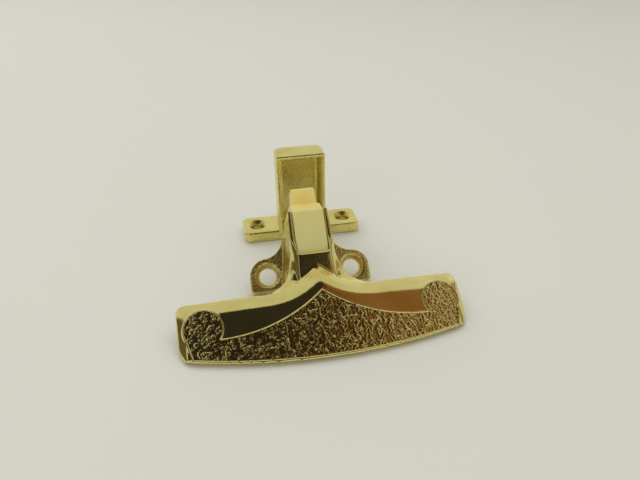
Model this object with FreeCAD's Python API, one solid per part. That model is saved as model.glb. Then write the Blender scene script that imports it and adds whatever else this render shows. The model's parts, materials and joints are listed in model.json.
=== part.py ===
import FreeCAD, Part
import math
import os

# Surface latch for a light door: a die-cast pull with a sprung nylon bolt, and its strike.
# Millimetres. The latch is drawn flat, with X along the pull, Y up the screw plate towards
# the bolt's tip and Z out of the plate, and is then leaned onto its pull. The strike stands
# behind it. The row's origin is the middle of the footprint, on the table.

Vec = FreeCAD.Vector

# Screw plate
plate_thickness = 2.5
plate_corner_radius = 0.8
screw_half_spacing = 12.25
screw_height = 4.45             # hole centre above the plate's lower edge
screw_radius = 2.4
countersink_radius = 3.5
ear_radius = 5.15               # rounded shoulder, centred on the screw hole
shoulder_height = 15.0          # where the ear's curve meets the housing
shoulder_half_width = 7.1
shoulder_slope = 1.6            # how much higher the plate's edge is where it runs into the housing
ear_hollow = (0.8, 1.0)         # how far the middle of that curve sags in, across and down

# Nylon bolt and the channel it slides in
bolt_travel = 5.8
bolt_clearance = 0.1
pad_half_width = 4.35
pad_stand_off = 13.6            # thumb pad's face above the plate's back
pad_top = 19.8                  # upper end of the thumb pad
body_top = 22.7                 # shoulder where the tongue starts
body_stand_off = 9.2
flange_lip = 0.3                # flanges wider than the pad, each side
flange_stand_off = 6.0
flange_top = 19.9
stop_lip = 1.1                  # stops wider than the pad, each side
stop_thickness = 1.1
pocket_bottom = 1.2             # closed end of the pocket that the stops move in
tongue_half_width = 3.45
tongue_step = 0.4               # tongue's face behind the body's face
tongue_tip = 27.6
tongue_lead = 5.0               # length of the slope under the tongue's tip
tongue_tip_depth = 3.4
tongue_edge_radius = 0.7
pad_edge_radius = 0.42

# Housing
housing_height = 20.3           # plate's lower edge to the cheeks' open end
bridge_wall = 1.6               # bridge in front of the bolt
bridge_lap = 0.8                # how far the bridge covers the lower end of the bolt
bridge_edge_bevel = 0.7
bridge_spread = 1.05            # how much wider the bridge is at the neck
cheek_step = 0.4                # cheeks' faces behind the thumb pad's face
cheek_wall = 1.15               # cheeks beside the bolt, open end
foot_wall = 0.6                 # housing at the plate beside the bolt's slot, open end
foot_spread = 3.25              # how much wider the housing is at the plate's lower edge
cheek_spread = 1.0              # how much wider the cheeks are at the neck
cheek_ramp = 4.5                # length of the slope from the cheeks up to the bridge

# Back cover, rivets and spring
cover_thickness = 0.8
cover_gap = 0.05
cover_rim = 0.35                # casting beyond the cover, each side
cover_bottom = 0.7
cover_top = 13.5
cover_corner_radius = 1.0
rivet_inset = 0.85              # rivets' centres outside the bolt's slot
rivet_height = 10.0
rivet_radius = 0.55
rivet_head_radius = 0.85
rivet_length = 3.6
rivet_gap = 0.02
spring_radius = 1.75            # to the middle of the wire
spring_wire_radius = 0.22
spring_turns = 9
spring_bore_gap = 0.13
spring_bore_depth = 8.5
spring_stand_off = 7.2
spring_gap = 0.05

# Pull bar
bar_half_length = 38.0
bar_bow_radius = 225.0
bar_top = -2.1                  # straight part of the upper edge
cusp_height = 4.6
cusp_run = 14.0                 # from the cusp to where its curve meets the upper edge
bar_foot_drop = 20.3            # lowest point of the bar below the plate's lower edge
bar_foot_stand_off = 24.4
foot_rise = 3.9                 # from the lowest point to the foot line at the ends
face_stand_off = 19.0           # bar's face above the plate's back, at the plate's lower edge
bar_bevel = 3.0
bar_end_bevel = 1.9
bar_top_thickness = 5.2
bar_foot_thickness = 2.0
bar_corner_radius = 2.2
bar_foot_corner_radius = 3.0

# Neck: two hollow arms from the housing to the back of the bar
neck_drop = 7.5
neck_arm_radius = 6.2           # hollow curve of the arms, which clears the screw heads
neck_arm_offset = (1.35, 0.4)   # centre of that curve from the screw hole, across and up
neck_arm_depth = 3.2            # back of the arms behind the cheeks' faces
neck_arm_head = 2.5             # arms' upper end above the centre of the hollow curve
neck_arm_tip = (1.0, 2.0)       # outer tip from that centre, and above the neck's lower end
neck_foot_curve = (0.62, 0.3)   # middle of the lower edge, as a share of the width, and its rise
neck_front_step = 1.2           # arms' front behind the bar's bevel
neck_shoulder_step = 2.0        # arms' front behind the cheeks' faces, at the upper end
neck_foot_step = 0.3            # lower end of the arms in front of the cheeks' faces

# Strike
strike_gap = 28.4               # plate's lower edge to the strike's front edge
strike_offset = 2.5
base_length = 38.0
base_depth = 10.9
base_thickness = 3.5
base_corner_radius = 2.0
hood_width = 15.3
hood_depth = 8.0
hood_height = 29.1
hood_wall = 1.2
hood_roof = 1.3
hood_corner_radius = 2.6
strike_half_spacing = 14.35
strike_hole_setback = 5.8
strike_hole_radius = 1.9
strike_countersink_radius = 3.1
casting_edge_radius = 0.4

cut_through = 1.0               # how far cutters run past the faces they open
near = 0.01                     # lengths that differ by less than this are equal
HALF_TURN = math.sqrt(0.5)      # share of a radius, along and across, at the middle of a quarter turn

# Worked out from the sizes above
plate_half_width = screw_half_spacing + ear_radius
flange_half_width = pad_half_width + flange_lip
stop_half_width = pad_half_width + stop_lip
channel_half_width = pad_half_width + bolt_clearance
slot_half_width = flange_half_width + bolt_clearance
pocket_half_width = stop_half_width + bolt_clearance
bolt_tail = pocket_bottom + bolt_travel + 2 * bolt_clearance
stop_height = bolt_tail + stop_thickness + bolt_clearance
cover_recess = cover_thickness + cover_gap
bolt_back = cover_recess + bolt_clearance
tongue_stand_off = body_stand_off - tongue_step
rivet_half_spacing = slot_half_width + rivet_inset
foot_top_half_width = slot_half_width + foot_wall
foot_half_width = foot_top_half_width + foot_spread
cheek_stand_off = pad_stand_off - cheek_step
cheek_top_half_width = channel_half_width + cheek_wall
cheek_half_width = cheek_top_half_width + cheek_spread
neck_arm_back = cheek_stand_off - neck_arm_depth
bridge_stand_off = pad_stand_off + bolt_clearance + bridge_wall
bridge_top = bolt_tail + bridge_lap
bridge_top_half_width = pad_half_width
bridge_half_width = bridge_top_half_width + bridge_spread
spring_bore_radius = spring_radius + spring_wire_radius + spring_bore_gap
face_slope = (bar_foot_stand_off - face_stand_off) / bar_foot_drop
lean = math.degrees(math.atan2(bar_foot_stand_off - bar_foot_thickness, bar_foot_drop))


def prism(outline, low, high):
    """Solid from a closed list of (x, y) corners, between two heights."""
    points = [Vec(x, y, low) for x, y in outline]
    return Part.Face(Part.makePolygon(points + points[:1])).extrude(Vec(0, 0, high - low))


def side_prism(profile, half_width):
    """Solid from a closed list of (y, z) corners, centred on the middle plane."""
    points = [Vec(-half_width, y, z) for y, z in profile]
    return Part.Face(Part.makePolygon(points + points[:1])).extrude(Vec(2 * half_width, 0, 0))


def block(half_width, y_low, y_high, z_low, z_high):
    """Box centred on the middle plane."""
    return Part.makeBox(2 * half_width, y_high - y_low, z_high - z_low, Vec(-half_width, y_low, z_low))


def tapered(lower, lower_z, upper, upper_z):
    """Solid with flat sides between two outlines at two heights."""
    wires = []
    for outline, z in ((lower, lower_z), (upper, upper_z)):
        points = [Vec(x, y, z) for x, y in outline]
        wires.append(Part.makePolygon(points + points[:1]))
    return Part.makeLoft(wires, True, True)


def trapezium(bottom_y, bottom_half, top_y, top_half):
    return [(-bottom_half, bottom_y), (bottom_half, bottom_y), (top_half, top_y), (-top_half, top_y)]


def mirrored(shape):
    return shape.mirror(Vec(0, 0, 0), Vec(1, 0, 0))


def countersunk_hole(x, y, bottom, top, radius, sink_radius):
    """Cutter for a through hole with a 90 degree countersink in its upper face."""
    sink = Part.makeCone(radius, sink_radius, sink_radius - radius, Vec(x, y, top - sink_radius + radius))
    mouth = Part.makeCylinder(sink_radius, cut_through, Vec(x, y, top))
    bore = Part.makeCylinder(radius, top - bottom + 2 * cut_through, Vec(x, y, bottom - cut_through))
    return bore.fuse([sink, mouth])


def edges_where(shape, test):
    """Edges whose two ends and middle all pass the test."""
    picked = []
    for edge in shape.Edges:
        middle = edge.valueAt((edge.FirstParameter + edge.LastParameter) / 2)
        if all(test(point) for point in [vertex.Point for vertex in edge.Vertexes] + [middle]):
            picked.append(edge)
    return picked


def screw_plate():
    """Half outline from the middle of the lower edge to the housing's open end, mirrored."""
    shoulder = Vec(shoulder_half_width, shoulder_height, 0)
    ear_top = Vec(screw_half_spacing, screw_height + ear_radius, 0)
    ear_side = Vec(plate_half_width, screw_height, 0)
    ear_bend = Vec(screw_half_spacing + ear_radius * HALF_TURN, screw_height + ear_radius * HALF_TURN, 0)
    hollow = (ear_top + shoulder) * 0.5 - Vec(ear_hollow[0], ear_hollow[1], 0)
    corner_start = Vec(plate_half_width - plate_corner_radius, 0, 0)
    corner_inset = plate_corner_radius * (1 - HALF_TURN)
    corner_bend = Vec(plate_half_width - corner_inset, corner_inset, 0)
    corner_end = Vec(plate_half_width, plate_corner_radius, 0)
    run_in = Vec(foot_top_half_width, shoulder_height + shoulder_slope, 0)
    edges = [
        Part.makeLine(Vec(0, 0, 0), corner_start),
        Part.Arc(corner_start, corner_bend, corner_end).toShape(),
        Part.makeLine(corner_end, ear_side),
        Part.Arc(ear_side, ear_bend, ear_top).toShape(),
        Part.Arc(ear_top, hollow, shoulder).toShape(),
        Part.makeLine(shoulder, run_in),
        Part.makeLine(run_in, Vec(0, run_in.y, 0)),
        Part.makeLine(Vec(0, run_in.y, 0), Vec(0, 0, 0)),
    ]
    half = Part.Face(Part.Wire(edges)).extrude(Vec(0, 0, plate_thickness))
    return half.fuse(mirrored(half)).removeSplitter()


def housing_block():
    """Drafted body of the housing, with the bridge rising from the cheeks, before the channel."""
    foot_plan = trapezium(0, foot_half_width, housing_height, foot_top_half_width)
    cheek_plan = trapezium(-neck_drop, cheek_half_width, housing_height, cheek_top_half_width)
    bridge_plan = trapezium(-neck_drop, bridge_half_width, bridge_top, bridge_top_half_width)
    body = tapered(foot_plan, plate_thickness, cheek_plan, cheek_stand_off)
    ramp_foot = bridge_top + cheek_ramp
    ramp_share = (ramp_foot + neck_drop) / (housing_height + neck_drop)
    ramp_half = cheek_half_width + (cheek_top_half_width - cheek_half_width) * ramp_share
    ramp_plan = trapezium(-neck_drop, cheek_half_width, ramp_foot, ramp_half)
    bridge = tapered(ramp_plan, cheek_stand_off, bridge_plan, bridge_stand_off)
    foot = prism(foot_plan, 0, plate_thickness)
    return foot.fuse([body, bridge]).removeSplitter()


def neck_arms():
    """Curved arms from the housing's sides to the back of the bar, seen from the front."""
    centre = Vec(screw_half_spacing + neck_arm_offset[0], screw_height + neck_arm_offset[1], 0)
    head = centre.y + neck_arm_head
    inner = centre - Vec(neck_arm_radius, 0, 0)
    bend = centre - Vec(neck_arm_radius * HALF_TURN, neck_arm_radius * HALF_TURN, 0)
    outer = centre - Vec(0, neck_arm_radius, 0)
    tip = Vec(centre.x + neck_arm_tip[0], neck_arm_tip[1] - neck_drop, 0)
    foot = Vec(centre.x * neck_foot_curve[0], neck_foot_curve[1] - neck_drop, 0)
    root = Vec(0, -neck_drop, 0)
    shoulder = Vec(inner.x - neck_arm_tip[0], head, 0)
    edges = [
        Part.makeLine(Vec(0, head, 0), shoulder),
        Part.makeLine(shoulder, inner),
        Part.Arc(inner, bend, outer).toShape(),
        Part.makeLine(outer, tip),
        Part.Arc(tip, foot, root).toShape(),
        Part.makeLine(root, Vec(0, head, 0)),
    ]
    half = Part.Face(Part.Wire(edges)).extrude(Vec(0, 0, bar_foot_stand_off))
    front = face_stand_off - bar_bevel - neck_front_step
    above = head + cut_through
    below = -neck_drop - cut_through
    profile = [(above, neck_arm_back), (above, cheek_stand_off - neck_shoulder_step), (0, front),
               (below, front - below * face_slope), (below, cheek_stand_off + neck_foot_step),
               (-neck_drop * 0.5, neck_arm_back)]
    return half.fuse(mirrored(half)).removeSplitter().common(side_prism(profile, 3 * centre.x))


def upper_edge_at(x, inset):
    """Height of the bar's upper edge, or of a line set inside it: a cusp that runs out flat."""
    rise = cusp_height - bar_top
    radius = (cusp_run ** 2 + rise ** 2) / (2 * rise)
    if x >= cusp_run:
        return bar_top - inset
    return bar_top + radius - math.sqrt((radius + inset) ** 2 - (cusp_run - x) ** 2)


def bar_section(x, corner_turn=0.0):
    """Upright section of the bar at x. The corner turn, in radians, runs round the end corners."""
    bow = bar_bow_radius - math.sqrt(bar_bow_radius ** 2 - x ** 2)
    foot_radius = (bar_half_length ** 2 + foot_rise ** 2) / (2 * foot_rise)
    rounding = 1 - math.cos(corner_turn)
    top = upper_edge_at(x, 0) - bar_corner_radius * rounding
    crest = min(upper_edge_at(x, bar_bevel), top - 0.5)
    foot_line = foot_radius - math.sqrt(foot_radius ** 2 - x ** 2) - bar_foot_drop
    foot = foot_line + bar_foot_corner_radius * rounding
    end_drop = bar_end_bevel * max(0.0, x - bar_half_length + bar_corner_radius) / bar_corner_radius

    def face_at(y):
        return face_stand_off - face_slope * y - bow

    corners = [(top, face_at(top) - bar_bevel), (crest, face_at(crest) - end_drop),
               (foot, face_at(foot) - end_drop), (foot, face_at(foot) - bar_foot_thickness),
               (top, face_at(top) - bar_top_thickness)]
    points = [Vec(x, y, z) for y, z in corners]
    return Part.makePolygon(points + points[:1])


def pull_bar():
    """Half the bar as smooth runs, over the cusp, along the bow and round the end, and its mirror image."""
    run_out = bar_half_length - bar_corner_radius
    over_cusp = [bar_section(cusp_run * step / 5) for step in range(6)]
    along_bow = [bar_section(cusp_run + (run_out - cusp_run) * step / 4) for step in range(5)]
    turns = [math.radians(90) * step / 6 for step in range(7)]
    round_end = [bar_section(run_out + bar_corner_radius * math.sin(turn), turn) for turn in turns]
    half = Part.makeLoft(over_cusp, True, False, False, 3)
    half = half.fuse([Part.makeLoft(along_bow, True, False, False, 3), Part.makeLoft(round_end, True, True)])
    return half.fuse(mirrored(half))


def handle_casting():
    """Plate, housing, neck and bar are one die casting."""
    casting = screw_plate().fuse([housing_block(), neck_arms(), pull_bar()])
    over = bridge_stand_off + cut_through
    bevel_foot = bridge_top - bridge_edge_bevel
    bevel_side = bridge_stand_off - bridge_edge_bevel
    mouth = housing_height + cut_through
    flange_top_clear = flange_stand_off + bolt_clearance
    cutters = [
        side_prism([(bevel_foot, bridge_stand_off), (bevel_foot, over), (bridge_top, over),
                    (bridge_top, bevel_side)], channel_half_width),
        block(channel_half_width, bridge_top, mouth, -cut_through, over),
        block(channel_half_width, pocket_bottom, mouth, -cut_through, pad_stand_off + bolt_clearance),
        block(slot_half_width, pocket_bottom, mouth, -cut_through, flange_top_clear),
        block(pocket_half_width, pocket_bottom, stop_height, -cut_through, flange_top_clear),
        raised(cover_plan(cover_gap), -cut_through, cover_recess),
    ]
    for side in (-1, 1):
        cutters.append(countersunk_hole(side * screw_half_spacing, screw_height, 0, plate_thickness,
                                        screw_radius, countersink_radius))
        cutters.append(Part.makeCylinder(rivet_radius + rivet_gap, rivet_length + cover_gap + rivet_gap,
                                         Vec(side * rivet_half_spacing, rivet_height, 0)))
    return casting.cut(cutters).removeSplitter()


def cover_plan(grow):
    """Outline of the back cover, which narrows with the housing, grown all round for its recess."""
    low = cover_bottom - grow
    high = cover_top + grow
    narrowing = foot_spread / housing_height
    rim = cover_rim - grow
    low_half = foot_half_width - narrowing * low - rim
    high_half = foot_half_width - narrowing * high - rim
    plan = prism(trapezium(low, low_half, high, high_half), 0, cover_thickness)
    upright = [edge for edge in plan.Edges if edge.BoundBox.ZLength > cover_thickness - near]
    rounded = plan.makeFillet(cover_corner_radius + grow, upright)
    return [face for face in rounded.Faces if face.BoundBox.ZMax < near][0]


def raised(face, low, high):
    """Flat face made solid between two heights."""
    return face.extrude(Vec(0, 0, high - low)).translated(Vec(0, 0, low))


def back_cover():
    cover = raised(cover_plan(0), cover_gap, cover_recess)
    for side in (-1, 1):
        cover = cover.cut(rivet(side, rivet_gap))
    return cover


def rivet(side, grow):
    """Countersunk rivet, grown all round when it cuts its own hole."""
    x = side * rivet_half_spacing
    shank = Part.makeCylinder(rivet_radius + grow, rivet_length, Vec(x, rivet_height, cover_gap))
    head_height = rivet_head_radius - rivet_radius
    head = Part.makeCone(rivet_head_radius + grow, rivet_radius + grow, head_height,
                         Vec(x, rivet_height, cover_gap))
    return shank.fuse(head).removeSplitter()


def nylon_bolt():
    """Moulded bolt: flanged foot in the channel, thumb pad in front, lower tongue at the tip."""
    pad_profile = [(bolt_tail, bolt_back), (bolt_tail, pad_stand_off), (pad_top, pad_stand_off),
                   (body_top, body_stand_off), (body_top, bolt_back)]
    pad = side_prism(pad_profile, pad_half_width)

    def on_pad_front(point):
        return point.z > body_stand_off - near and point.y > bolt_tail + near

    pad = pad.makeFillet(pad_edge_radius, [edge for edge in edges_where(pad, on_pad_front)
                                                  if edge.BoundBox.XLength > near])
    tongue_back = tongue_stand_off - tongue_tip_depth
    tongue_profile = [(flange_top, bolt_back), (tongue_tip - tongue_lead, bolt_back),
                      (tongue_tip, tongue_back), (tongue_tip, tongue_stand_off),
                      (flange_top, tongue_stand_off)]
    tongue = side_prism(tongue_profile, tongue_half_width)

    def on_tip(point):
        return point.y > tongue_tip - near

    tongue = tongue.makeFillet(tongue_edge_radius, edges_where(tongue, on_tip))
    flange = block(flange_half_width, bolt_tail, flange_top, bolt_back, flange_stand_off)
    stops = block(stop_half_width, bolt_tail, bolt_tail + stop_thickness, bolt_back, flange_stand_off)
    spring_bore = Part.makeCylinder(spring_bore_radius, spring_bore_depth + cut_through,
                                    Vec(0, bolt_tail - cut_through, spring_stand_off), Vec(0, 1, 0))
    return pad.fuse([tongue, flange, stops]).cut(spring_bore).removeSplitter()


def bolt_spring():
    """Compression spring between the bottom of the bolt's bore and the end of the pocket."""
    start = pocket_bottom + spring_gap + spring_wire_radius
    end = bolt_tail + spring_bore_depth - spring_gap - spring_wire_radius
    pitch = (end - start) / spring_turns
    helix = Part.makeHelix(pitch, end - start, spring_radius)
    along = Vec(0, 2 * math.pi * spring_radius, pitch).normalize()
    out = Vec(1, 0, 0)
    across = along.cross(out)
    corners = [Vec(spring_radius, 0, 0) + out * (spring_wire_radius * math.cos(math.radians(turn)))
               + across * (spring_wire_radius * math.sin(math.radians(turn))) for turn in range(0, 360, 45)]
    section = Part.makePolygon(corners + corners[:1])
    coil = Part.Wire(helix).makePipeShell([section], True, True)
    coil.rotate(Vec(0, 0, 0), Vec(1, 0, 0), -90)
    return coil.translated(Vec(0, start, spring_stand_off))


def rounded_bar(length, depth, height, radius):
    """Plate standing on the table, with its upright corners rounded."""
    bar = Part.makeBox(length, depth, height, Vec(-length / 2, 0, 0))
    upright = [edge for edge in bar.Edges if abs(edge.BoundBox.ZLength - height) < near]
    return bar.makeFillet(radius, upright)


def strike_hood():
    """Upright hood, open at the front, with rounded back corners and a closed roof."""
    def shell(inset, top):
        corner = Vec(inset - hood_width / 2, 0, 0)
        body = Part.makeBox(hood_width - 2 * inset, hood_depth - inset, top, corner)
        back = [edge for edge in body.Edges
                if abs(edge.BoundBox.ZLength - top) < near and edge.BoundBox.YMin > hood_depth / 2]
        return body.makeFillet(hood_corner_radius - inset, back)

    inside = shell(hood_wall, hood_height - hood_roof)
    inside = inside.fuse(inside.translated(Vec(0, -cut_through, 0)))
    return shell(0, hood_height).cut(inside)


def strike():
    """One casting: base bar with two countersunk holes, and the hood that the bolt shoots into."""
    base = rounded_bar(base_length, base_depth, base_thickness, base_corner_radius)
    upper_rim = [edge for edge in base.Edges if edge.BoundBox.ZMin > base_thickness - near]
    base = base.makeFillet(casting_edge_radius, upper_rim)
    body = base.fuse(strike_hood())
    for side in (-1, 1):
        body = body.cut(countersunk_hole(side * strike_half_spacing, strike_hole_setback, 0, base_thickness,
                                         strike_hole_radius, strike_countersink_radius))
    return body.removeSplitter().translated(Vec(strike_offset, strike_gap, 0))


def leaned(shape, lift=0.0):
    """Turns a piece of the latch back so that the plate's edge and the bar's foot are level."""
    turned = shape.copy()
    turned.rotate(Vec(0, 0, 0), Vec(1, 0, 0), lean)
    return turned.translated(Vec(0, 0, lift))


casting = handle_casting()
lift = -leaned(casting).optimalBoundingBox(False).ZMin
nodes = {
    "pull_handle_casting": leaned(casting, lift),
    "nylon_bolt": leaned(nylon_bolt(), lift),
    "bolt_spring": leaned(bolt_spring(), lift),
    "back_cover_plate": leaned(back_cover(), lift),
    "cover_rivet_left": leaned(rivet(-1, 0), lift),
    "cover_rivet_right": leaned(rivet(1, 0), lift),
    "strike": strike(),
}
footprint = Part.makeCompound([nodes["pull_handle_casting"], nodes["strike"]]).optimalBoundingBox(False)
to_origin = Vec(0, -(footprint.YMin + footprint.YMax) / 2, 0)

os.makedirs("parts", exist_ok=True)
for name, shape in nodes.items():
    placed = shape.translated(to_origin)
    placed.exportStep(f"parts/{name}.step")
    box = placed.BoundBox
    print(f"{name}: valid {placed.isValid()}, solids {len(placed.Solids)}, volume {placed.Volume:.1f} mm3, "
          f"x {box.XMin:.2f}..{box.XMax:.2f}, y {box.YMin:.2f}..{box.YMax:.2f}, "
          f"z {box.ZMin:.2f}..{box.ZMax:.2f}")
print(f"lean {lean:.3f} degrees, plate's lower edge at y {to_origin.y:.3f}, z {lift:.3f}")
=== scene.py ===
import json
import math

import bmesh
import bpy
from mathutils import Matrix, Vector, noise


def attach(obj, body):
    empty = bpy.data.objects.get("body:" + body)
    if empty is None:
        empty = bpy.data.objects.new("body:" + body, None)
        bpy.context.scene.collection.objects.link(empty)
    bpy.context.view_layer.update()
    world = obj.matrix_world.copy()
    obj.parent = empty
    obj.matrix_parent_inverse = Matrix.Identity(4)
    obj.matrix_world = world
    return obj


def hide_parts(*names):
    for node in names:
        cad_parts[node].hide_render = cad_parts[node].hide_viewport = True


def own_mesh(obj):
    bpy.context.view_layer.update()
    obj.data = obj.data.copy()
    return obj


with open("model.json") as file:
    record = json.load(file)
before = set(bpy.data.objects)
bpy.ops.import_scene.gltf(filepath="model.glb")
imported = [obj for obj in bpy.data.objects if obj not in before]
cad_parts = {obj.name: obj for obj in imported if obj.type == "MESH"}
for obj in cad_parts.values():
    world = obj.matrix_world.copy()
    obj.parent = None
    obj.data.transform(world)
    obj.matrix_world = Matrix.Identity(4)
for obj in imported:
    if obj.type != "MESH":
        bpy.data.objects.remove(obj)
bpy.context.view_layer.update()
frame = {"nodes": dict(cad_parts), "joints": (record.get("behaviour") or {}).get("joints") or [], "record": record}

# Pull handle casting: screw plate, bolt housing, neck and pull bar in one zinc die casting, tumbled
# soft and brass plated. The bar is polished, with a hammered panel on its face that has a raised rim,
# a point in the middle and a round boss at each end. The plate and the neck's sides stay as cast.
screw_height = 4.45

# Skin: grain of the remesh and passes of smoothing. Points nearer than same_point (metres) are one.
cast_grain = 0.335
cast_softening = 4
smoothing = 0.5
same_point = 1e-6

# Pull bar: its bowed, sloping face, its foot, and its upper edge with the point in the middle.
face_stand_off = 19.0
face_slope = 0.266
bar_bow_radius = 225.0
bar_foot_drop = 20.3
bar_foot_curve = 187.1
bar_top = -2.1
bar_bevel = 3.0
bevel_depth = 1.6 * bar_bevel
cusp_run = 14.0
cusp_radius = 17.98

# Hammered panel: outline, the bosses at its ends, the rim round it and the punched ground.
arc_radius = 41.7
arc_run = 26.5
arc_foot = -12.1
boss_across = 31.15
boss_up = -9.3
boss_radius = 5.2
boss_blend = (-0.3, 0.15)
side_start = 36.3
side_lean = 0.27
foot_rim = 0.45
panel_depth = 0.22
panel_wall = (0.05, 0.4)
rim_height = 0.06
rim_width = 0.17
ring_share = 0.5
crinkle_size = 0.9
crinkle_depth = 0.25
crinkle_fade = (0.1, 0.6)
crinkle_sharpness = 2.4
fine_scale = 2.1
coarse_share, fine_share = 0.6, 0.4
patch_scale = 0.6
patch_range = (-0.35, 0.15)
weakest_blow = 0.35
ground_share = 0.3
relief_margin = 0.5
front_depth = 1.8
front_facing = 0.5

# Groove along the bar's upper edge, on both sides of the point.
line_inset = 0.95
line_width = 0.2
line_depth = 0.05
line_overrun = 1.0
line_fade = 4.0
line_facing = 0.3

# Parts that are rounded further: the crest below the bevel, the bar's ends and the neck's sides.
crest_reach = 3.0
crest_facing = 0.4
crest_softening = 80
end_from = 34.0
end_depth = 3.0
end_softening = 8
neck_from, neck_to = 5.6, 16.0
neck_low, neck_high = -7.0, 9.0
neck_back, neck_below_face = 3.2, 3.0
neck_softening = 70

# Unpolished parts: the plate, which lies low, the neck's sides behind the face, and the panel a little.
rough_below = 7.0
rough_run = 3.0
rough_beside = (5.2, 6.2)
rough_above = (-7.0, -4.0)
rough_behind = (3.5, 5.5)
rough_neck = 0.9
panel_cast = 0.2

# The casting leans on its pull, so its pieces are worked on lying flat, in millimetres from the middle
# of the screw plate's lower edge, with the pull across, the plate upwards and its front outwards.
mounts = {mount["name"]: mount for mount in frame["record"]["mounts"]}
slide = next(joint for joint in frame["joints"] if joint["name"] == "bolt_slide")
along_pull = Vector((1.0, 0.0, 0.0))
up_plate = -Vector(slide["axis"])
out_of_plate = Vector(mounts["left_screw_hole"]["axis"])
half_land = mounts["left_screw_hole"]["dims"]["length_mm"] / 2
left_hole = Vector(mounts["left_screw_hole"]["pos_m"])
right_hole = Vector(mounts["right_screw_hole"]["pos_m"])
plate_edge = (left_hole + right_hole) / 2 - (up_plate * screw_height + out_of_plate * half_land) / 1000
from_millimetres = Matrix.Scale(0.001, 4)
leaned = Matrix((along_pull, up_plate, out_of_plate)).transposed().to_4x4()
from_flat = Matrix.Translation(plate_edge) @ leaned @ from_millimetres


def soft_copy(node, name, into_frame, grain, passes):
    """Closed copy of a machined shape, skinned finely and smoothed so that its edges are rounded."""
    shape = bmesh.new()
    shape.from_mesh(frame["nodes"][node].data)
    bmesh.ops.remove_doubles(shape, verts=shape.verts, dist=same_point)
    bmesh.ops.transform(shape, matrix=into_frame.inverted(), verts=shape.verts)
    sharp = bpy.data.meshes.new(name + "_sharp")
    shape.to_mesh(sharp)
    shape.free()
    piece = bpy.data.objects.new(name, sharp)
    bpy.context.scene.collection.objects.link(piece)
    skin = piece.modifiers.new("skin", "REMESH")
    skin.mode = "VOXEL"
    skin.voxel_size = grain
    tumbled = piece.modifiers.new("tumbled", "SMOOTH")
    tumbled.factor = smoothing
    tumbled.iterations = passes
    finished = piece.evaluated_get(bpy.context.evaluated_depsgraph_get())
    piece.data = bpy.data.meshes.new_from_object(finished)
    piece.modifiers.clear()
    bpy.data.meshes.remove(sharp)
    return piece


def put_back(piece, into_frame):
    """Moves a worked mesh into the latch's place and shades it smooth."""
    piece.data.transform(into_frame)
    piece.data.polygons.foreach_set("use_smooth", [True] * len(piece.data.polygons))
    piece.data.update()


def smooth_step(value, low, high):
    """Share from 0 at low to 1 at high, easing in and out."""
    share = min(1.0, max(0.0, (value - low) / (high - low)))
    return share * share * (3 - 2 * share)


def face_height(across, up):
    """Height of the pull bar's face above the plate's back."""
    bow = bar_bow_radius - math.sqrt(bar_bow_radius ** 2 - across ** 2)
    return face_stand_off - face_slope * up - bow


def inside_boss(across, up):
    """How far a point of the bar's face lies inside the nearer round boss."""
    return boss_radius - math.hypot(abs(across) - boss_across, up - boss_up)


def inside_panel(across, up):
    """How far a point of the bar's face lies inside the hammered panel, below zero outside it."""
    across = abs(across)
    if across < arc_run:
        below_arc = math.hypot(arc_run - across, arc_foot + arc_radius - up) - arc_radius
    else:
        below_arc = arc_foot - up
    foot = bar_foot_curve - math.sqrt(bar_foot_curve ** 2 - across ** 2) - bar_foot_drop
    side = side_start + side_lean * (up - boss_up) - across
    return max(min(below_arc, up - foot - foot_rim, side), inside_boss(across, up))


def below_edge(across, up):
    """Distance of a point below the bar's upper edge, which sweeps up to a cusp in the middle."""
    if abs(across) >= cusp_run:
        return bar_top - up
    return math.hypot(cusp_run - abs(across), bar_top + cusp_radius - up) - cusp_radius


def crinkle(across, up):
    """Sharp little ridges that run every way, as a punched ground has, from 0 low to 1 on a ridge."""
    spot = Vector((across, up, 0.0)) / crinkle_size
    coarse = 1.0 - crinkle_sharpness * abs(noise.noise(spot))
    fine = 1.0 - crinkle_sharpness * abs(noise.noise(spot * fine_scale + Vector((7.0, 3.0, 1.0))))
    struck = smooth_step(noise.noise(spot * patch_scale + Vector((2.0, 9.0, 4.0))), *patch_range)
    ridge = min(1.0, max(0.0, coarse_share * coarse + fine_share * fine)) ** 2
    return (weakest_blow + (1.0 - weakest_blow) * struck) * ridge


def on_front(vert):
    across, up, out = vert.co
    return vert.normal.z > front_facing and out > face_height(across, up) - front_depth and up < bar_top


def soften_where(shape, chosen, passes):
    """Rounds a part of the casting further, as the polishing wheel does to what stands out."""
    picked = [vert for vert in shape.verts if chosen(vert)]
    for _ in range(passes):
        bmesh.ops.smooth_vert(shape, verts=picked, factor=smoothing,
                              use_axis_x=True, use_axis_y=True, use_axis_z=True)


def near_crest(vert):
    across, up, out = vert.co
    on_bar = out > face_height(across, up) - bevel_depth and vert.normal.z > crest_facing
    return on_bar and abs(below_edge(across, up) - bar_bevel) < crest_reach


def at_bar_end(vert):
    across, up, out = vert.co
    return abs(across) > end_from and out > face_height(across, up) - end_depth


def on_neck(vert):
    across, up, out = vert.co
    beside_bridge = neck_from < abs(across) < neck_to and neck_low < up < neck_high and out > neck_back
    return beside_bridge and out < face_height(across, up) - neck_below_face


handle = soft_copy("pull_handle_casting", "pull_handle", from_flat, cast_grain, cast_softening)
relief = bmesh.new()
relief.from_mesh(handle.data)
relief.normal_update()
soften_where(relief, near_crest, crest_softening)
soften_where(relief, at_bar_end, end_softening)
soften_where(relief, on_neck, neck_softening)
relief.normal_update()


def in_relief(vert):
    across, up, out = vert.co
    off_line = abs(below_edge(across, up) - line_inset)
    by_line = abs(across) < cusp_run + line_overrun and off_line < 3 * line_width
    on_line = by_line and vert.normal.z > line_facing and out > face_height(across, up) - bevel_depth
    return on_line or (on_front(vert) and inside_panel(across, up) > -relief_margin)


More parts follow.
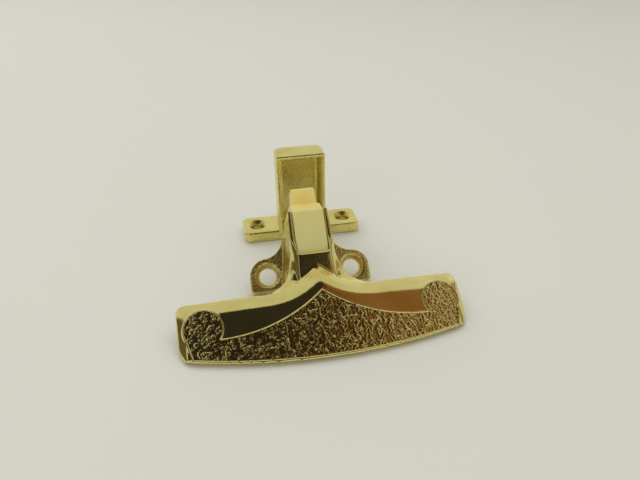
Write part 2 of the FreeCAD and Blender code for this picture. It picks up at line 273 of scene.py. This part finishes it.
worked = [face for face in relief.faces if all(in_relief(vert) for vert in face.verts)]
worked_edges = list({edge for face in worked for edge in face.edges})
bmesh.ops.subdivide_edges(relief, edges=worked_edges, cuts=1, use_grid_fill=True)
relief.normal_update()
# Tarnish and painted shade in the panel's sunk ground between the punched ridges, kept on each point.
tarnish_and_shade = relief.verts.layers.float.new("tarnish_and_shade")
as_cast = relief.verts.layers.float.new("as_cast")
worked_verts = [vert for vert in relief.verts if in_relief(vert)]
for vert in worked_verts:
    across, up, out = vert.co
    depth_in = inside_panel(across, up)
    boss = inside_boss(across, up)
    flat = smooth_step(boss, *boss_blend) * max(0.0, face_height(across, up) - out)
    sunk = smooth_step(depth_in, *panel_wall)
    punched = crinkle(across, up) * smooth_step(depth_in, *crinkle_fade)
    rim = math.exp(-(depth_in / rim_width) ** 2)
    ring = ring_share * math.exp(-(boss / rim_width) ** 2)
    line = math.exp(-((below_edge(across, up) - line_inset) / line_width) ** 2)
    line *= smooth_step(cusp_run - abs(across), 0.0, line_fade)
    out += flat + rim_height * max(rim, ring) - panel_depth * sunk - line_depth * line
    out += crinkle_depth * (punched - ground_share * sunk) * (1 - ring)
    vert.co.z = out
    vert[tarnish_and_shade] = sunk * (1 - punched)
    vert[as_cast] = panel_cast * sunk
for vert in relief.verts:
    across, up, out = vert.co
    low_down = smooth_step(rough_below - out, 0.0, rough_run)
    beside = smooth_step(abs(across), *rough_beside) * smooth_step(up, *rough_above)
    behind_face = smooth_step(face_height(across, up) - out, *rough_behind)
    vert[as_cast] = max(vert[as_cast], low_down, rough_neck * beside * behind_face)
relief.to_mesh(handle.data)
relief.free()
put_back(handle, from_flat)


def plated_surface_group():
    """Colour, roughness and fine unevenness of a plated casting, from its own coordinates."""
    group = bpy.data.node_groups.new("plated_surface", "ShaderNodeTree")
    face = group.interface
    face.new_socket("Position", in_out="INPUT", socket_type="NodeSocketVector")
    for label in ("Plating", "Thin Plating", "Edge"):
        face.new_socket(label, in_out="INPUT", socket_type="NodeSocketColor")
    for label in ("Cloud Size", "Grain Size", "Polish", "Haze", "Edge Wear And Highlight"):
        face.new_socket(label, in_out="INPUT", socket_type="NodeSocketFloat")
    face.new_socket("Color", in_out="OUTPUT", socket_type="NodeSocketColor")
    for label in ("Roughness", "Height"):
        face.new_socket(label, in_out="OUTPUT", socket_type="NodeSocketFloat")
    nodes, links = group.nodes, group.links
    given = nodes.new("NodeGroupInput")
    result = nodes.new("NodeGroupOutput")
    cloud = nodes.new("ShaderNodeTexNoise")
    cloud.inputs["Detail"].default_value = 4.0
    grain = nodes.new("ShaderNodeTexNoise")
    grain.inputs["Detail"].default_value = 3.0
    for texture, size in ((cloud, "Cloud Size"), (grain, "Grain Size")):
        links.new(given.outputs["Position"], texture.inputs["Vector"])
        links.new(given.outputs[size], texture.inputs["Scale"])
    tone = nodes.new("ShaderNodeMix")
    tone.data_type = "RGBA"
    spread = nodes.new("ShaderNodeMapRange")
    spread.inputs["From Min"].default_value = 0.35
    spread.inputs["From Max"].default_value = 0.7
    links.new(cloud.outputs["Fac"], spread.inputs["Value"])
    links.new(spread.outputs["Result"], tone.inputs["Factor"])
    links.new(given.outputs["Plating"], tone.inputs["A"])
    links.new(given.outputs["Thin Plating"], tone.inputs["B"])
    corner = nodes.new("ShaderNodeNewGeometry")
    # Sharp edges are brightened: wear on the polished latch, a painted highlight on the strike.
    worn_and_lit_edge = nodes.new("ShaderNodeMapRange")
    worn_and_lit_edge.inputs["From Min"].default_value = 0.52
    worn_and_lit_edge.inputs["From Max"].default_value = 0.62
    links.new(corner.outputs["Pointiness"], worn_and_lit_edge.inputs["Value"])
    amount = nodes.new("ShaderNodeMath")
    amount.operation = "MULTIPLY"
    links.new(worn_and_lit_edge.outputs["Result"], amount.inputs[0])
    links.new(given.outputs["Edge Wear And Highlight"], amount.inputs[1])
    edged = nodes.new("ShaderNodeMix")
    edged.data_type = "RGBA"
    links.new(amount.outputs["Value"], edged.inputs["Factor"])
    links.new(tone.outputs["Result"], edged.inputs["A"])
    links.new(given.outputs["Edge"], edged.inputs["B"])
    links.new(edged.outputs["Result"], result.inputs["Color"])
    haze = nodes.new("ShaderNodeMix")
    links.new(grain.outputs["Fac"], haze.inputs["Factor"])
    links.new(given.outputs["Polish"], haze.inputs["A"])
    links.new(given.outputs["Haze"], haze.inputs["B"])
    links.new(haze.outputs["Result"], result.inputs["Roughness"])
    links.new(grain.outputs["Fac"], result.inputs["Height"])
    return group


plated_surface = plated_surface_group()


def plated_metal(name, plating, thin, edge, cloud, grain, polish, haze, edge_wear_and_highlight, unevenness):
    """Brass plated metal. Returns the material, its shader and the plated surface's node."""
    material = bpy.data.materials.new(name)
    material.use_nodes = True
    nodes, links = material.node_tree.nodes, material.node_tree.links
    shader = nodes["Principled BSDF"]
    shader.inputs["Metallic"].default_value = 1.0
    place = nodes.new("ShaderNodeTexCoord")
    surface = nodes.new("ShaderNodeGroup")
    surface.node_tree = plated_surface
    links.new(place.outputs["Object"], surface.inputs["Position"])
    for label, value in (("Plating", plating), ("Thin Plating", thin), ("Edge", edge)):
        surface.inputs[label].default_value = (*value, 1.0)
    for label, value in (("Cloud Size", cloud), ("Grain Size", grain), ("Polish", polish),
                         ("Haze", haze), ("Edge Wear And Highlight", edge_wear_and_highlight)):
        surface.inputs[label].default_value = value
    bump = nodes.new("ShaderNodeBump")
    bump.inputs["Strength"].default_value = 1.0
    bump.inputs["Distance"].default_value = unevenness
    links.new(surface.outputs["Height"], bump.inputs["Height"])
    links.new(bump.outputs["Normal"], shader.inputs["Normal"])
    links.new(surface.outputs["Color"], shader.inputs["Base Color"])
    links.new(surface.outputs["Roughness"], shader.inputs["Roughness"])
    return material, shader, surface


def polished_brass():
    """Bright brass plate, browner in the panel's hollows as tarnish and painted shade, and rougher where the
    casting is unpolished.
    """
    material, shader, surface = plated_metal(
        "polished_brass", plating=(0.82, 0.73, 0.27), thin=(0.72, 0.60, 0.20), edge=(0.95, 0.88, 0.46),
        cloud=120.0, grain=1700.0, polish=0.06, haze=0.17, edge_wear_and_highlight=0.6, unevenness=0.00012)
    nodes, links = material.node_tree.nodes, material.node_tree.links
    # Tarnish and painted shade: the panel's hollows are mixed towards dark brown.
    tarnish_and_shade_read = nodes.new("ShaderNodeAttribute")
    tarnish_and_shade_read.attribute_name = "tarnish_and_shade"
    shade = nodes.new("ShaderNodeMapRange")
    shade.inputs["To Max"].default_value = 0.55
    links.new(tarnish_and_shade_read.outputs["Fac"], shade.inputs["Value"])
    tarnished_and_shaded = nodes.new("ShaderNodeMix")
    tarnished_and_shaded.data_type = "RGBA"
    tarnished_and_shaded.inputs["B"].default_value = (0.30, 0.19, 0.06, 1.0)
    links.new(shade.outputs["Result"], tarnished_and_shaded.inputs["Factor"])
    links.new(surface.outputs["Color"], tarnished_and_shaded.inputs["A"])
    rough_cast = nodes.new("ShaderNodeAttribute")
    rough_cast.attribute_name = "as_cast"
    pitted = nodes.new("ShaderNodeMapRange")
    pitted.inputs["To Min"].default_value = 0.12
    pitted.inputs["To Max"].default_value = 1.8
    links.new(rough_cast.outputs["Fac"], pitted.inputs["Value"])
    skin = nodes.new("ShaderNodeMix")
    skin.data_type = "RGBA"
    skin.inputs["B"].default_value = (0.86, 0.70, 0.24, 1.0)
    unpolished = nodes.new("ShaderNodeMath")
    unpolished.operation = "MULTIPLY"
    unpolished.inputs[1].default_value = 0.65
    links.new(rough_cast.outputs["Fac"], unpolished.inputs[0])
    links.new(unpolished.outputs["Value"], skin.inputs["Factor"])
    links.new(tarnished_and_shaded.outputs["Result"], skin.inputs["A"])
    links.new(skin.outputs["Result"], shader.inputs["Base Color"])
    dull = nodes.new("ShaderNodeMath")
    dull.operation = "MULTIPLY_ADD"
    dull.inputs[1].default_value = 0.12
    links.new(rough_cast.outputs["Fac"], dull.inputs[0])
    links.new(surface.outputs["Roughness"], dull.inputs[2])
    links.new(dull.outputs["Value"], shader.inputs["Roughness"])
    relief = nodes.new("ShaderNodeMath")
    relief.operation = "MULTIPLY"
    links.new(surface.outputs["Height"], relief.inputs[0])
    links.new(pitted.outputs["Result"], relief.inputs[1])
    links.new(relief.outputs["Value"], nodes["Bump"].inputs["Height"])
    return material


handle.data.materials.clear()
handle.data.materials.append(polished_brass())
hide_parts("pull_handle_casting")
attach(handle, "latch")


# Nylon bolt: one injection moulding with a thumb pad in front, a thinner tongue that shoots into the
# strike, and flanges that run in the casting's slot. It has yellowed, most of all at the tip, and the
# pad grows lighter towards its top, which is painted light.
bolt_grain = 0.2
bolt_softening = 4
pad_low = 9.0
pad_high = 20.0
yellow_from = 21.0
yellow_to = 25.0
# Share of painted light up the pad, and of yellowing at the tip.
pad_painted_light = 0.3
tip_yellowing = 0.7
# Painted sheen: an orange spot on the tongue stands for the sheen seen there.
sheen_up = 23.4
sheen_radius = 2.4

bolt = soft_copy("nylon_bolt", "thumb_bolt", from_flat, bolt_grain, bolt_softening)
yellowing_and_light_share = bolt.data.attributes.new("yellowing_and_light", "FLOAT", "POINT")
painted_sheen = bolt.data.attributes.new("painted_sheen", "FLOAT", "POINT")
for vert in bolt.data.vertices:
    pad_share = smooth_step(vert.co.y, pad_low, pad_high)
    tip_share = smooth_step(vert.co.y, yellow_from, yellow_to)
    yellowing_and_light_share.data[vert.index].value = pad_painted_light * pad_share + tip_yellowing * tip_share
    away = math.hypot(vert.co.x, vert.co.y - sheen_up) / sheen_radius
    painted_sheen.data[vert.index].value = math.exp(-away * away)
put_back(bolt, from_flat)


def yellowed_nylon():
    """Translucent moulded nylon: olive cream at the thumb end, peach at the tip, of uneven gloss. The pad's
    lightening towards its top is painted light, the tip's orange spot a painted sheen.
    """
    material = bpy.data.materials.new("yellowed_nylon")
    material.use_nodes = True
    nodes, links = material.node_tree.nodes, material.node_tree.links
    shader = nodes["Principled BSDF"]
    shader.inputs["Subsurface Weight"].default_value = 0.2
    shader.inputs["Subsurface Radius"].default_value = (1.0, 0.85, 0.5)
    shader.inputs["Subsurface Scale"].default_value = 0.0012
    shader.inputs["IOR"].default_value = 1.53
    place = nodes.new("ShaderNodeTexCoord")
    yellowing_and_light_share = nodes.new("ShaderNodeAttribute")
    yellowing_and_light_share.attribute_name = "yellowing_and_light"
    # Mixed by yellowing and painted light: lighter and yellower up the pad and at the tip.
    tone = nodes.new("ShaderNodeMix")
    tone.data_type = "RGBA"
    tone.inputs["A"].default_value = (0.73, 0.67, 0.28, 1.0)
    tone.inputs["B"].default_value = (0.90, 0.76, 0.25, 1.0)
    links.new(yellowing_and_light_share.outputs["Fac"], tone.inputs["Factor"])
    # Painted sheen: the tongue's orange spot is painted into the colour.
    spot = nodes.new("ShaderNodeAttribute")
    spot.attribute_name = "painted_sheen"
    sheened = nodes.new("ShaderNodeMix")
    sheened.data_type = "RGBA"
    sheened.inputs["B"].default_value = (0.90, 0.60, 0.14, 1.0)
    faint = nodes.new("ShaderNodeMath")
    faint.operation = "MULTIPLY"
    faint.inputs[1].default_value = 0.7
    links.new(spot.outputs["Fac"], faint.inputs[0])
    links.new(faint.outputs["Value"], sheened.inputs["Factor"])
    links.new(tone.outputs["Result"], sheened.inputs["A"])
    links.new(sheened.outputs["Result"], shader.inputs["Base Color"])
    flow = nodes.new("ShaderNodeTexNoise")
    flow.inputs["Scale"].default_value = 420.0
    flow.inputs["Detail"].default_value = 3.0
    links.new(place.outputs["Object"], flow.inputs["Vector"])
    gloss = nodes.new("ShaderNodeMapRange")
    gloss.inputs["To Min"].default_value = 0.32
    gloss.inputs["To Max"].default_value = 0.52
    links.new(flow.outputs["Fac"], gloss.inputs["Value"])
    links.new(gloss.outputs["Result"], shader.inputs["Roughness"])
    bump = nodes.new("ShaderNodeBump")
    bump.inputs["Distance"].default_value = 0.00002
    links.new(flow.outputs["Fac"], bump.inputs["Height"])
    links.new(bump.outputs["Normal"], shader.inputs["Normal"])
    return material


bolt.data.materials.clear()
bolt.data.materials.append(yellowed_nylon())
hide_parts("nylon_bolt")
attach(bolt, "bolt")


# Bolt spring: hard drawn steel wire wound into a compression spring, loose in the bolt's bore. Its
# wire is bright and faintly mottled.
def spring_wire():
    material = bpy.data.materials.new("spring_wire")
    material.use_nodes = True
    nodes, links = material.node_tree.nodes, material.node_tree.links
    shader = nodes["Principled BSDF"]
    shader.inputs["Metallic"].default_value = 1.0
    place = nodes.new("ShaderNodeTexCoord")
    mottle = nodes.new("ShaderNodeTexNoise")
    mottle.inputs["Scale"].default_value = 2500.0
    links.new(place.outputs["Object"], mottle.inputs["Vector"])
    tone = nodes.new("ShaderNodeMix")
    tone.data_type = "RGBA"
    tone.inputs["A"].default_value = (0.60, 0.60, 0.59, 1.0)
    tone.inputs["B"].default_value = (0.44, 0.43, 0.41, 1.0)
    links.new(mottle.outputs["Fac"], tone.inputs["Factor"])
    links.new(tone.outputs["Result"], shader.inputs["Base Color"])
    dull = nodes.new("ShaderNodeMapRange")
    dull.inputs["To Min"].default_value = 0.22
    dull.inputs["To Max"].default_value = 0.4
    links.new(mottle.outputs["Fac"], dull.inputs["Value"])
    links.new(dull.outputs["Result"], shader.inputs["Roughness"])
    return material


coil = bmesh.new()
coil.from_mesh(frame["nodes"]["bolt_spring"].data)
bmesh.ops.remove_doubles(coil, verts=coil.verts, dist=same_point)
coil_mesh = bpy.data.meshes.new("return_spring")
coil.to_mesh(coil_mesh)
coil.free()
spring = bpy.data.objects.new("return_spring", coil_mesh)
bpy.context.scene.collection.objects.link(spring)
spring.data.materials.clear()
spring.data.materials.append(spring_wire())
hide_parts("bolt_spring")
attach(spring, "latch")
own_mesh(spring)


# Back cover and its two rivets: a stamped brass plate that closes the bolt's channel from behind,
# held by rivets hammered into the casting. Never polished, so it is duller and browner.
def give_material(node, material):
    mesh = frame["nodes"][node].data
    mesh.materials.clear()
    mesh.materials.append(material)


cover_brass = plated_metal(
    "cover_brass", plating=(0.70, 0.56, 0.24), thin=(0.52, 0.38, 0.15), edge=(0.82, 0.70, 0.34),
    cloud=160.0, grain=1400.0, polish=0.30, haze=0.48, edge_wear_and_highlight=0.0, unevenness=0.00003)[0]
for node in ("back_cover_plate", "cover_rivet_left", "cover_rivet_right"):
    give_material(node, cover_brass)


# Strike: the smaller die casting that the bolt shoots into, a drilled base bar with a hood. It is
# plated like the latch but was left as tumbled, so it is satin and slightly frosted.
strike_grain = 0.3
strike_softening = 2

strike = soft_copy("strike", "strike_hood", from_millimetres, strike_grain, strike_softening)
put_back(strike, from_millimetres)
# The strike's sharp edges are brightened strongly as a painted highlight.
satin_brass = plated_metal(
    "satin_brass", plating=(0.84, 0.76, 0.27), thin=(0.74, 0.62, 0.18), edge=(1.0, 0.96, 0.56),
    cloud=150.0, grain=2000.0, polish=0.2, haze=0.36, edge_wear_and_highlight=0.9, unevenness=0.00003)[0]
strike.data.materials.clear()
strike.data.materials.append(satin_brass)
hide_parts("strike")
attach(strike, "strike")


# Table: a plain pale laminate top, slightly warm and not shiny. It is only what the latch lies on,
# and isn't part of it.
table_reach = 3.0

table_top = bmesh.new()
bmesh.ops.create_grid(table_top, x_segments=1, y_segments=1, size=table_reach)
table_mesh = bpy.data.meshes.new("table")
table_top.to_mesh(table_mesh)
table_top.free()
table = bpy.data.objects.new("table", table_mesh)
bpy.context.scene.collection.objects.link(table)
laminate = bpy.data.materials.new("laminate")
laminate.use_nodes = True
laminate_shader = laminate.node_tree.nodes["Principled BSDF"]
laminate_shader.inputs["Base Color"].default_value = (0.80, 0.81, 0.73, 1.0)
laminate_shader.inputs["Roughness"].default_value = 0.55
table_mesh.materials.append(laminate)


# Studio: a bright tent, darker overhead on the camera's side, with a warm brown reflector to the
# right of it, which the metal mirrors and the camera doesn't see. The three soft lights don't show
# in the metal.
tent = bpy.data.worlds.new("tent")
tent.use_nodes = True
bpy.context.scene.world = tent
tent_nodes, tent_links = tent.node_tree.nodes, tent.node_tree.links
tent_light = tent_nodes["Background"]


def tent_step(value, low, high):
    """Smooth share of the way from low to high."""
    step = tent_nodes.new("ShaderNodeMapRange")
    step.interpolation_type = "SMOOTHSTEP"
    step.inputs["From Min"].default_value = low
    step.inputs["From Max"].default_value = high
    tent_links.new(value, step.inputs["Value"])
    return step.outputs["Result"]


def tent_mix(share, first, second):
    mix = tent_nodes.new("ShaderNodeMix")
    mix.data_type = "RGBA"
    tent_links.new(share, mix.inputs["Factor"])
    for socket, colour in (("A", first), ("B", second)):
        if isinstance(colour, tuple):
            mix.inputs[socket].default_value = (*colour, 1.0)
        else:
            tent_links.new(colour, mix.inputs[socket])
    return mix.outputs["Result"]


tent_direction = tent_nodes.new("ShaderNodeTexCoord")
tent_axes = tent_nodes.new("ShaderNodeSeparateXYZ")
tent_links.new(tent_direction.outputs["Generated"], tent_axes.inputs["Vector"])
overhead = tent_nodes.new("ShaderNodeVectorMath")
overhead.operation = "DOT_PRODUCT"
overhead.inputs[1].default_value = (0.0, -0.42, 0.91)
tent_links.new(tent_direction.outputs["Generated"], overhead.inputs[0])
dark_share = tent_step(overhead.outputs["Value"], 0.72, 0.80)
brown_edge = tent_nodes.new("ShaderNodeVectorMath")
brown_edge.operation = "DOT_PRODUCT"
brown_edge.inputs[1].default_value = (1.0, -0.066, 0.0)
tent_links.new(tent_direction.outputs["Generated"], brown_edge.inputs[0])
brown_share = tent_step(brown_edge.outputs["Value"], 0.22, 0.26)
warm_side = tent_mix(tent_step(tent_axes.outputs["Y"], -0.5, -0.2), (0.30, 0.23, 0.14), (0.24, 0.115, 0.06))
roof = tent_mix(brown_share, (0.03, 0.027, 0.028), warm_side)
walls = tent_mix(tent_step(tent_axes.outputs["Z"], -0.1, 0.5), (0.88, 0.88, 0.82), (0.64, 0.64, 0.61))
opening = tent_step(tent_axes.outputs["X"], -0.7, -0.88)
walls = tent_mix(opening, walls, (0.12, 0.10, 0.07))
walls = tent_mix(tent_step(tent_axes.outputs["X"], 0.7, 0.88), walls, (0.34, 0.27, 0.17))
seen = tent_nodes.new("ShaderNodeLightPath")
backdrop = tent_mix(seen.outputs["Is Camera Ray"], tent_mix(dark_share, walls, roof), (0.72, 0.72, 0.67))
tent_links.new(backdrop, tent_light.inputs["Color"])


def soft_light(name, spot, target, size, power):
    """Square soft lamp that points at a target and isn't mirrored by the metal."""
    lamp = bpy.data.lights.new(name, "AREA")
    lamp.size = size
    lamp.energy = power
    holder = bpy.data.objects.new(name, lamp)
    holder.location = spot
    holder.rotation_euler = (Vector(target) - Vector(spot)).to_track_quat("-Z", "Y").to_euler()
    holder.visible_glossy = False
    bpy.context.scene.collection.objects.link(holder)


soft_light("overhead_fill", (0.05, 0.05, 0.7), (0.0, 0.0, 0.0), size=0.9, power=2.4)
soft_light("back_window", (-0.35, 0.55, 0.42), (0.0, 0.0, 0.01), size=0.35, power=0.7)
soft_light("front_fill", (-0.35, -0.45, 0.3), (0.0, 0.0, 0.01), size=0.4, power=0.4)


# Camera: in front of the pull and above it, looking down along the latch at the strike behind it.
# Its turn, pitch and roll are in degrees, and its lens and film width in millimetres.
camera_spot = (-0.0244, -0.1486, 0.1048)
camera_turn = math.radians(-10.61)
camera_pitch = math.radians(31.15)
camera_roll = math.radians(0.96)
lens_length = 34.85
film_width = 36.0
nearest_seen = 0.005

lens = bpy.data.cameras.new("camera")
lens.lens = lens_length
lens.sensor_width = film_width
lens.clip_start = nearest_seen
camera = bpy.data.objects.new("camera", lens)
camera.matrix_world = (Matrix.Translation(camera_spot) @ Matrix.Rotation(camera_turn, 4, "Z")
                       @ Matrix.Rotation(math.pi / 2 - camera_pitch, 4, "X")
                       @ Matrix.Rotation(-camera_roll, 4, "Z"))
bpy.context.scene.collection.objects.link(camera)
bpy.context.scene.camera = camera
bpy.context.scene.view_settings.view_transform = "Standard"
